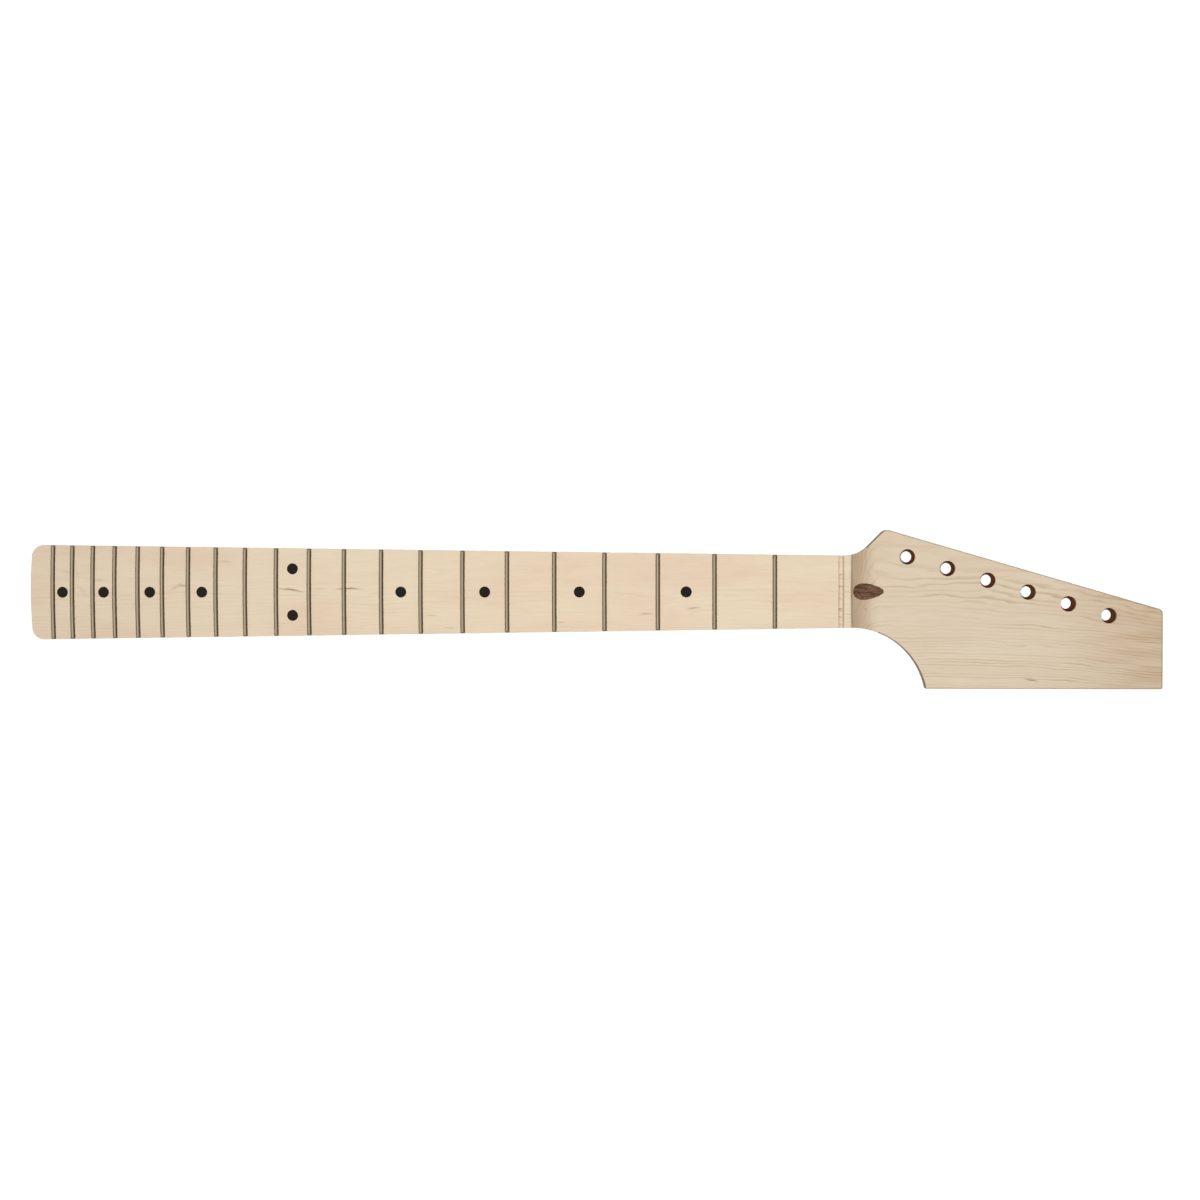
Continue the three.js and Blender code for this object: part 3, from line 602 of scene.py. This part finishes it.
def make_maple():
    wood = new_material("bare_sanded_maple")
    place = add(wood, "ShaderNodeTexCoord", output="Object")
    normal = add(wood, "ShaderNodeTexCoord", output="Normal")
    x = add(wood, "ShaderNodeSeparateXYZ", {0: place}, output="X")
    lean = add(wood, "ShaderNodeSeparateXYZ", {0: normal}, output="X")
    upright = add(wood, "ShaderNodeSeparateXYZ", {0: normal}, output="Z")
    upright = add(wood, "ShaderNodeMath", {0: upright}, operation="ABSOLUTE")

    grey, rosy = headstock_tones(wood, place, x)
    lines, brown = figure(wood, place, x, lean)
    fibre = along_grain(wood, place, FIBRE_LENGTH, FIBRE_WIDTH, detail=2.0)
    fine_lines = add(wood, "ShaderNodeMapRange", {
        "Value": fibre, "From Min": 0.3, "From Max": 0.7, "To Max": FIBRE_LINES,
    })
    bore_shade = shaded_bores(wood, place, upright)

    # Each layer lies over the ones before it. A Mix of colours takes its amount at socket 0 and
    # its two colours at 6 and 7, and gives the mix at output 2.
    layers = (
        (clouds(wood, place), linear(MAPLE_WARM)),
        (grey, linear(MAPLE_GREY)),
        (rosy, linear(MAPLE_ROSY)),
        (lines, linear(MAPLE_LINE)),
        (brown, linear(MAPLE_BROWN)),
        (fine_lines, linear(MAPLE_LINE)),
        (minerals(wood, place), linear(MINERAL)),
        (across_fibres(wood, lean, upright), linear(MAPLE_END)),
        # Painted shade on the shoulder's and the horn's walls that face the heel
        (painted_wall_shade(wood, x, lean, upright), linear(MAPLE_SHADE_BROWN)),
        # Painted shade on the headstock's edge and arris, in the end grain's colour
        (painted_arris_shade(wood, x, upright), linear(MAPLE_END)),
        # Painted shade in the nut slot's far corner, and torn-fibre marks across the slot
        (slot_shade_and_marks(wood, place, x), linear(MAPLE_SHADE_BROWN)),
        # Painted shade down the tuner bores and a painted shadow on their ledges
        (bore_shade, bore_shade_colour(wood, place)),
    )
    colour = linear(MAPLE_PALE)
    for amount, tone in layers:
        colour = add(wood, "ShaderNodeMix", {
            0: amount, 6: colour, 7: tone,
        }, output=2, data_type="RGBA")

    roughness = add(wood, "ShaderNodeMapRange", {"Value": fibre, "To Min": 0.54, "To Max": 0.68})
    roughness = add(wood, "ShaderNodeMath", {0: roughness, 1: bore_shade}, operation="MAXIMUM")
    bump = add(wood, "ShaderNodeBump", {
        "Height": fibre, "Distance": FIBRE_HEIGHT, "Strength": 0.6,
    })
    surface = add(wood, "ShaderNodeBsdfPrincipled", {
        "Base Color": colour, "Roughness": roughness, "IOR": 1.45, "Normal": bump,
    })
    add(wood, "ShaderNodeOutputMaterial", {"Surface": surface})
    return wood


neck = copy_node("neck", "maple_neck", NECK_WELD)
for run, width in (
    (on_head_face, FACE_ARRIS), (on_head_back, BACK_ARRIS), (on_board_rim, BOARD_ARRIS),
    (on_heel_back, HEEL_BACK_ARRIS),
):
    round_edges(neck, outside_holes(run), width, segments=3)
round_edges(neck, on_tuner_mouth, HOLE_ARRIS, segments=2)
smooth(neck, on_plug_rim)
neck.data.materials.append(make_maple())
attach(neck, "neck_body")


# Frets
# Nickel-silver wire, an oval crown over a thin tang, bent to the board's radius and pressed into
# sawn slots. Each is nipped to length, and its ends are filed back over the crown and eased.

BOARD_RADIUS = 241.3 * MM
CROWN_CLEARANCE = 0.05 * MM
CROWN_SIDES = 24
WIRE_STEPS = 40
WIRE_HALF_ANGLE = math.radians(6.9)
TANG_WIDTH = 0.5 * MM
TANG_DEPTH = 1.6 * MM
FRET_END_SLOPE = 0.6
FRET_END_REACH = 1.0 * MM
FRET_END_SHARP = math.radians(25)
FRET_END_ARRIS = 0.15 * MM
FRET_COUNT = 21
SILVER_TOP = "#CDBA9C"
# The foot colour is painted shade and a painted dark reflection on the crown's flanks
SILVER_FLANK_SHADE = "#43311F"
FILE_MARK_LENGTH = 3 * MM
FILE_MARK_WIDTH = 0.12 * MM


def bend_wire():
    """A length of wire at the middle of the frame: its section, turned about the board's axis."""
    low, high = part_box("fret_01")
    half_width = (high.x - low.x) / 2
    foot = Vector((0, 0, FACE_HEIGHT + CROWN_CLEARANCE))
    axis = Vector((0, 0, FACE_HEIGHT - BOARD_RADIUS))
    bpy.ops.object.select_all(action="DESELECT")
    bpy.ops.mesh.primitive_circle_add(
        vertices=CROWN_SIDES, radius=half_width, fill_type="NGON", location=foot,
        rotation=(math.pi / 2, 0, 0),
    )
    bpy.ops.object.transform_apply(location=True, rotation=True, scale=True)
    wire = bpy.context.object
    wire.name = "fret_wire_blank"
    bpy.ops.object.mode_set(mode="EDIT")
    bpy.ops.mesh.select_all(action="SELECT")
    height = (high.z - foot.z) / half_width
    bpy.ops.transform.resize(value=(1, 1, height), center_override=foot)
    bpy.ops.mesh.bisect(plane_co=foot, plane_no=(0, 0, 1), clear_inner=True)
    for side in (-1, 1):
        bpy.ops.mesh.select_all(action="SELECT")
        bpy.ops.mesh.bisect(plane_co=(side * TANG_WIDTH / 2, 0, 0), plane_no=(1, 0, 0))
    pick_edges(lambda edge: (middle(edge) - foot).length < TANG_WIDTH / 4)
    drop = (0, 0, -TANG_DEPTH - CROWN_CLEARANCE)
    bpy.ops.mesh.extrude_region_move(TRANSFORM_OT_translate={"value": drop})
    bpy.ops.mesh.select_all(action="SELECT")
    bpy.ops.transform.rotate(value=-WIRE_HALF_ANGLE, orient_axis="X", center_override=axis)
    bpy.ops.mesh.spin(steps=WIRE_STEPS, angle=2 * WIRE_HALF_ANGLE, center=axis, axis=(1, 0, 0))
    bpy.ops.mesh.select_all(action="SELECT")
    bpy.ops.mesh.remove_doubles(threshold=SAME_POINT)
    bpy.ops.mesh.normals_make_consistent(inside=False)
    bpy.ops.object.mode_set(mode="OBJECT")
    return wire


def cut_fret(wire, node, name):
    """A copy of the wire, moved to its slot, nipped to length and filed at both ends."""
    low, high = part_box(node)
    end = high.y
    sag = BOARD_RADIUS - math.sqrt(BOARD_RADIUS ** 2 - end ** 2)
    foot = FACE_HEIGHT + CROWN_CLEARANCE - sag
    fret = bpy.data.objects.new(name, wire.data.copy())
    bpy.context.scene.collection.objects.link(fret)
    select_only(fret)
    bpy.ops.object.mode_set(mode="EDIT")
    bpy.ops.mesh.select_all(action="SELECT")
    bpy.ops.transform.translate(value=((low.x + high.x) / 2, 0, 0))
    for side in (-1, 1):
        for slope in (0, FRET_END_SLOPE):
            bpy.ops.mesh.select_all(action="SELECT")
            bpy.ops.mesh.bisect(
                plane_co=(0, side * end, foot), plane_no=(0, side, slope),
                clear_outer=True, use_fill=True, threshold=SAME_POINT,
            )
    bpy.ops.object.mode_set(mode="OBJECT")

    def on_filed_end(edge):
        return abs(middle(edge).y) > end - FRET_END_REACH and middle(edge).z > foot

    round_edges(fret, on_filed_end, FRET_END_ARRIS, segments=2, sharp=FRET_END_SHARP)
    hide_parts(node)
    return fret


def make_nickel_silver():
    """Rolled nickel silver, crowned with files and left satin: warm grey on top, with painted shade
    and a painted dark reflection in brown towards the foot of the crown."""
    metal = new_material("satin_nickel_silver")
    place = add(metal, "ShaderNodeTexCoord", output="Object")
    normal = add(metal, "ShaderNodeTexCoord", output="Normal")
    lean = add(metal, "ShaderNodeSeparateXYZ", {0: normal}, output="Z")
    # Painted shade and a painted dark reflection on the crown's steep flanks
    foot = add(metal, "ShaderNodeMapRange", {"Value": lean, "From Min": 0.95, "From Max": 0.4})
    colour = add(metal, "ShaderNodeMix", {
        0: foot, 6: linear(SILVER_TOP), 7: linear(SILVER_FLANK_SHADE),
    }, output=2, data_type="RGBA")
    # The file's marks run along the fret. They are drawn wide enough to show.
    files = add(metal, "ShaderNodeMapping", {
        "Vector": place, "Scale": (1 / FILE_MARK_WIDTH, 1 / FILE_MARK_LENGTH, 1 / FILE_MARK_WIDTH),
    })
    files = add(metal, "ShaderNodeTexNoise", {
        "Vector": files, "Scale": 1.0, "Detail": 2.0,
    }, output="Fac")
    roughness = add(metal, "ShaderNodeMapRange", {"Value": files, "To Min": 0.28, "To Max": 0.44})
    surface = add(metal, "ShaderNodeBsdfPrincipled", {
        "Base Color": colour, "Metallic": 1.0, "Roughness": roughness,
    })
    add(metal, "ShaderNodeOutputMaterial", {"Surface": surface})
    return metal


nickel_silver = make_nickel_silver()
wire = bend_wire()
for number in range(1, FRET_COUNT + 1):
    fret = cut_fret(wire, f"fret_{number:02d}", f"wire_fret_{number:02d}")
    smooth(fret)
    fret.data.materials.append(nickel_silver)
    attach(fret, "neck_body")
bpy.data.objects.remove(wire)


# Position dots
# Slices of black plastic rod, glued into drilled holes and sanded flush with the wood round
# them: large ones in the playing face, small ones in its bass edge.

DOT_RADIUS = 3.175 * MM
SIDE_DOT_RADIUS = 1.0 * MM
DOT_SIDES = 64
SIDE_DOT_SIDES = 32
DOT_PROUD = 0.02 * MM
DOT_ARRIS = 0.06 * MM
ACRYLIC_BLACK = "#0B0706"
ACRYLIC_SCRATCHED = "#1B1310"

# The paper's scratches are drawn wider than they are, because real ones are too fine to show
SCRATCH_LENGTH = 4 * MM
SCRATCH_WIDTH = 0.15 * MM


def make_dot(node, radius, sides, place, outward, depth):
    """A disc whose rim is eased, sunk from its place against the outward direction."""
    bpy.ops.object.select_all(action="DESELECT")
    turn = Vector((0, 0, 1)).rotation_difference(outward).to_euler()
    bpy.ops.mesh.primitive_circle_add(
        vertices=sides, radius=radius, fill_type="NGON", location=place, rotation=turn,
    )
    bpy.ops.object.transform_apply(location=True, rotation=True, scale=True)
    dot = bpy.context.object
    dot.name = f"acrylic_{node}"
    bpy.ops.object.mode_set(mode="EDIT")
    bpy.ops.mesh.select_all(action="SELECT")
    bpy.ops.mesh.extrude_region_move(TRANSFORM_OT_translate={"value": -depth * outward})
    bpy.ops.mesh.select_all(action="SELECT")
    bpy.ops.mesh.normals_make_consistent(inside=False)
    bpy.ops.object.mode_set(mode="OBJECT")

    def on_rim(edge):
        return (middle(edge) - place).dot(outward) > -depth / 4

    round_edges(dot, on_rim, DOT_ARRIS, segments=3)
    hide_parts(node)
    return dot


def make_black_plastic():
    """Cast acrylic rod sanded with the board: near black, greyed by fine scratches that run the
    way of the grain."""
    plastic = new_material("sanded_black_acrylic")
    place = add(plastic, "ShaderNodeTexCoord", output="Object")
    scratches = along_grain(plastic, place, SCRATCH_LENGTH, SCRATCH_WIDTH, detail=2.0)
    colour = add(plastic, "ShaderNodeMix", {
        0: scratches, 6: linear(ACRYLIC_BLACK), 7: linear(ACRYLIC_SCRATCHED),
    }, output=2, data_type="RGBA")
    roughness = add(plastic, "ShaderNodeMapRange", {
        "Value": scratches, "To Min": 0.38, "To Max": 0.55,
    })
    surface = add(plastic, "ShaderNodeBsdfPrincipled", {
        "Base Color": colour, "Roughness": roughness, "IOR": 1.45, "Specular IOR Level": 0.3,
    })
    add(plastic, "ShaderNodeOutputMaterial", {"Surface": surface})
    return plastic


black_acrylic = make_black_plastic()
for node in sorted(frame["nodes"]):
    if "_dot_" not in node:
        continue
    low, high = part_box(node)
    centre = (low + high) / 2
    if node.startswith("face"):
        axis = Vector((centre.x, 0, FACE_HEIGHT - BOARD_RADIUS))
        rise = math.sqrt(BOARD_RADIUS ** 2 - centre.y ** 2)
        outward = Vector((0, centre.y, rise)) / BOARD_RADIUS
        surface = axis + (BOARD_RADIUS + DOT_PROUD) * outward
        dot = make_dot(node, DOT_RADIUS, DOT_SIDES, surface, outward, high.z - low.z)
    else:
        outward = Vector((0, 1, 0))
        surface = Vector((centre.x, high.y + DOT_PROUD, centre.z))
        dot = make_dot(node, SIDE_DOT_RADIUS, SIDE_DOT_SIDES, surface, outward, high.y - low.y)
    smooth(dot)
    dot.data.materials.append(black_acrylic)
    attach(dot, "neck_body")


# Walnut stripe and plug
# The stripe closes the rod's channel in the back and the plug closes the slanted bore behind the
# nut. Both are glued in and carved flush with the maple.

WALNUT_LIGHT = "#85634A"
WALNUT_DARK = "#4F3627"
WALNUT_PORE = "#2A1A11"
WALNUT_LINE_LENGTH = 30 * MM
WALNUT_LINE_WIDTH = 1.6 * MM
PORE_LENGTH = 3.5 * MM
PORE_WIDTH = 0.25 * MM
PORE_DEPTH = 0.05 * MM


def make_walnut():
    """Black walnut, bare: chocolate brown with darker lines and short open pores."""
    wood = new_material("bare_sanded_walnut")
    place = add(wood, "ShaderNodeTexCoord", output="Object")
    line = along_grain(wood, place, WALNUT_LINE_LENGTH, WALNUT_LINE_WIDTH, detail=3.0)
    line = add(wood, "ShaderNodeMapRange", {"Value": line, "From Min": 0.35, "From Max": 0.65})
    colour = add(wood, "ShaderNodeMix", {
        0: line, 6: linear(WALNUT_LIGHT), 7: linear(WALNUT_DARK),
    }, output=2, data_type="RGBA")
    pore = along_grain(wood, place, PORE_LENGTH, PORE_WIDTH, detail=1.0)
    pore = add(wood, "ShaderNodeMapRange", {"Value": pore, "From Min": 0.58, "From Max": 0.72})
    colour = add(wood, "ShaderNodeMix", {
        0: pore, 6: colour, 7: linear(WALNUT_PORE),
    }, output=2, data_type="RGBA")
    bump = add(wood, "ShaderNodeBump", {
        "Height": pore, "Distance": -PORE_DEPTH, "Strength": 0.7,
    })
    surface = add(wood, "ShaderNodeBsdfPrincipled", {
        "Base Color": colour, "Roughness": 0.6, "IOR": 1.45, "Normal": bump,
    })
    add(wood, "ShaderNodeOutputMaterial", {"Surface": surface})
    return wood


walnut = make_walnut()
for node, name in (("skunk_stripe", "walnut_stripe"), ("headstock_plug", "walnut_plug")):
    filler = copy_node(node, name, SAME_POINT)
    smooth(filler, on_plug_rim)
    filler.data.materials.append(walnut)
    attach(filler, "neck_body")


# Truss rod, anchor, washer and nut
# A cold-drawn steel rod in its channel, with an anchor at its far end and a turned barrel nut
# over a washer at the heel. Only the nut's end, with its cross slot, shows in the bore.

NUT_SIDES = 48
NUT_ARRIS = 0.35 * MM
CROSS_WIDTH = 1.2 * MM
CROSS_DEPTH = 2.2 * MM
ROD_BORE_RADIUS = 2.6 * MM
STEEL_LIGHT = "#A2A3A4"
STEEL_DARK = "#8A8B8D"
TOOL_FEED = 0.2 * MM
TOOL_RING_PATCH = 2 * MM


def cut_away(piece, cutter):
    """Takes the space of a cutter out of a piece, and deletes the cutter."""
    select_only(piece)
    cut = piece.modifiers.new("cut", "BOOLEAN")
    cut.object = cutter
    cut.solver = "EXACT"
    bpy.ops.object.modifier_apply(modifier=cut.name)
    bpy.data.objects.remove(cutter)


def make_rod_nut():
    low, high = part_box("truss_rod_nut")
    centre = (low + high) / 2
    length = high.x - low.x
    bpy.ops.object.select_all(action="DESELECT")
    bpy.ops.mesh.primitive_cylinder_add(
        vertices=NUT_SIDES, radius=(high.y - low.y) / 2, depth=length, location=centre,
        rotation=(0, math.pi / 2, 0),
    )
    bpy.ops.object.transform_apply(location=True, rotation=True, scale=True)
    nut = bpy.context.object
    nut.name = "turned_rod_nut"

    def on_outer_end(edge):
        return middle(edge).x < centre.x - length / 4

    round_edges(nut, on_outer_end, NUT_ARRIS, segments=3)
    bore_start = low.x + CROSS_DEPTH
    bpy.ops.mesh.primitive_cylinder_add(
        vertices=NUT_SIDES, radius=ROD_BORE_RADIUS, depth=2 * (high.x - bore_start),
        location=(high.x, centre.y, centre.z), rotation=(0, math.pi / 2, 0),
    )
    cut_away(nut, bpy.context.object)
    for across, upright in ((2 * length, CROSS_WIDTH), (CROSS_WIDTH, 2 * length)):
        bpy.ops.mesh.primitive_cube_add(size=1, location=(low.x, centre.y, centre.z))
        bpy.context.object.scale = (2 * CROSS_DEPTH, across, upright)
        bpy.ops.object.transform_apply(location=True, rotation=True, scale=True)
        cut_away(nut, bpy.context.object)
    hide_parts("truss_rod_nut")
    return nut


def make_steel():
    """Turned mild steel with a light oil film: cool grey, with tool rings round the axis."""
    metal = new_material("turned_mild_steel")
    place = add(metal, "ShaderNodeTexCoord", output="Object")
    rings = along_grain(metal, place, TOOL_FEED, TOOL_RING_PATCH, detail=1.0)
    colour = add(metal, "ShaderNodeMix", {
        0: rings, 6: linear(STEEL_LIGHT), 7: linear(STEEL_DARK),
    }, output=2, data_type="RGBA")
    roughness = add(metal, "ShaderNodeMapRange", {"Value": rings, "To Min": 0.3, "To Max": 0.5})
    surface = add(metal, "ShaderNodeBsdfPrincipled", {
        "Base Color": colour, "Metallic": 1.0, "Roughness": roughness,
    })
    add(metal, "ShaderNodeOutputMaterial", {"Surface": surface})
    return metal


steel = make_steel()
rod_nut = make_rod_nut()
smooth(rod_nut)
rod_nut.data.materials.append(steel)
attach(rod_nut, "rod_nut")
for node in ("truss_rod", "truss_rod_anchor", "truss_rod_washer"):
    frame["nodes"][node].data.materials.clear()
    frame["nodes"][node].data.materials.append(steel)


# Floor, light and camera
# The neck lies on white paper in a white studio, under one broad soft lamp. The camera looks
# almost straight down from 1.3 m above.

FLOOR_SIZE = 6.0
FLOOR_MIDDLE_X = 0.28
FLOOR_GAP = 0.1 * MM
WHITE = (1, 1, 1, 1)
PAPER_BOUNCE = (0.6, 0.6, 0.6, 1)
PAPER_SHADE = (0.2, 0.2, 0.2, 1)
PAPER_GLOW = 0.92
ROOM_LIGHT = 0.2
LAMP_PLACE = (0.33, 0.0, 1.12)
LAMP_LENGTH = 0.8
LAMP_WIDTH = 0.6
LAMP_POWER = 11.3
CAMERA_PLACE = (379.77 * MM, 23.442 * MM, 1325.195 * MM)
CAMERA_TILT = (math.radians(-1.23998), math.radians(3.77526), math.radians(-0.09875))
CAMERA_LENS = 68.285
CAMERA_NEAR = 10 * MM
SENSOR = 36.0


def seen_rather_than_felt(material):
    """1 for rays that the camera, gloss or glass sends out, 0 for rays that carry light."""
    camera = add(material, "ShaderNodeLightPath", output="Is Camera Ray")
    glossy = add(material, "ShaderNodeLightPath", output="Is Glossy Ray")
    through = add(material, "ShaderNodeLightPath", output="Is Transmission Ray")
    either = add(material, "ShaderNodeMath", {0: camera, 1: glossy}, operation="MAXIMUM")
    return add(material, "ShaderNodeMath", {0: either, 1: through}, operation="MAXIMUM")


def make_paper():
    """Matt white paper, overexposed: it glows white with a faint shadow where it is seen, and
    bounces a softer light back to the neck."""
    paper = new_material("white_paper")
    seen = seen_rather_than_felt(paper)
    bounce = add(paper, "ShaderNodeBsdfDiffuse", {"Color": PAPER_BOUNCE})
    glow = add(paper, "ShaderNodeEmission", {"Color": WHITE, "Strength": PAPER_GLOW})
    shade = add(paper, "ShaderNodeBsdfDiffuse", {"Color": PAPER_SHADE})
    shown = add(paper, "ShaderNodeAddShader", {0: glow, 1: shade})
    both = add(paper, "ShaderNodeMixShader", {0: seen, 1: bounce, 2: shown})
    add(paper, "ShaderNodeOutputMaterial", {"Surface": both})
    return paper


bpy.ops.object.select_all(action="DESELECT")
bpy.ops.mesh.primitive_plane_add(size=FLOOR_SIZE, location=(FLOOR_MIDDLE_X, 0, -FLOOR_GAP))
floor = bpy.context.object
floor.name = "floor"
floor.data.materials.append(make_paper())

world = bpy.data.worlds.new("studio")
bpy.context.scene.world = world
world.use_nodes = True
world.node_tree.nodes.clear()
seen = seen_rather_than_felt(world)

# What polished metal mirrors: a white studio that is darker beyond the headstock, low behind the
# heel and near the floor
way = add(world, "ShaderNodeTexCoord", output="Generated")
along = add(world, "ShaderNodeSeparateXYZ", {0: way}, output="X")
beyond = add(world, "ShaderNodeMapRange", {
    "Value": along, "From Min": -0.3, "From Max": 0.75, "To Min": 0.9, "To Max": 0.15,
})
behind = add(world, "ShaderNodeMapRange", {
    "Value": along, "From Min": -0.95, "From Max": -0.6, "To Min": 0.45, "To Max": 1.0,
})
mirrored = add(world, "ShaderNodeMath", {0: beyond, 1: behind}, operation="MULTIPLY")
upward = add(world, "ShaderNodeSeparateXYZ", {0: way}, output="Z")
upward = add(world, "ShaderNodeMapRange", {
    "Value": upward, "From Min": 0.3, "From Max": 0.95, "To Min": 0.45, "To Max": 1.1,
})
mirrored = add(world, "ShaderNodeMath", {0: mirrored, 1: upward}, operation="MULTIPLY")
glossy = add(world, "ShaderNodeLightPath", output="Is Glossy Ray")
shown = add(world, "ShaderNodeMix", {0: glossy, 2: 1.0, 3: mirrored})
strength = add(world, "ShaderNodeMix", {0: seen, 2: ROOM_LIGHT, 3: shown})
background = add(world, "ShaderNodeBackground", {"Color": WHITE, "Strength": strength})
add(world, "ShaderNodeOutputWorld", {"Surface": background})

lamp_data = bpy.data.lights.new("softbox", "AREA")
lamp_data.shape = "RECTANGLE"
lamp_data.size = LAMP_LENGTH
lamp_data.size_y = LAMP_WIDTH
lamp_data.energy = LAMP_POWER
lamp = bpy.data.objects.new("softbox", lamp_data)
lamp.location = LAMP_PLACE
lamp.visible_camera = False
lamp.visible_glossy = False
bpy.context.scene.collection.objects.link(lamp)

camera_data = bpy.data.cameras.new("camera")
camera_data.lens = CAMERA_LENS
camera_data.sensor_width = SENSOR
camera_data.clip_start = CAMERA_NEAR
camera = bpy.data.objects.new("camera", camera_data)
camera.location = CAMERA_PLACE
camera.rotation_euler = CAMERA_TILT
bpy.context.scene.collection.objects.link(camera)
bpy.context.scene.camera = camera
bpy.context.scene.view_settings.view_transform = "Standard"
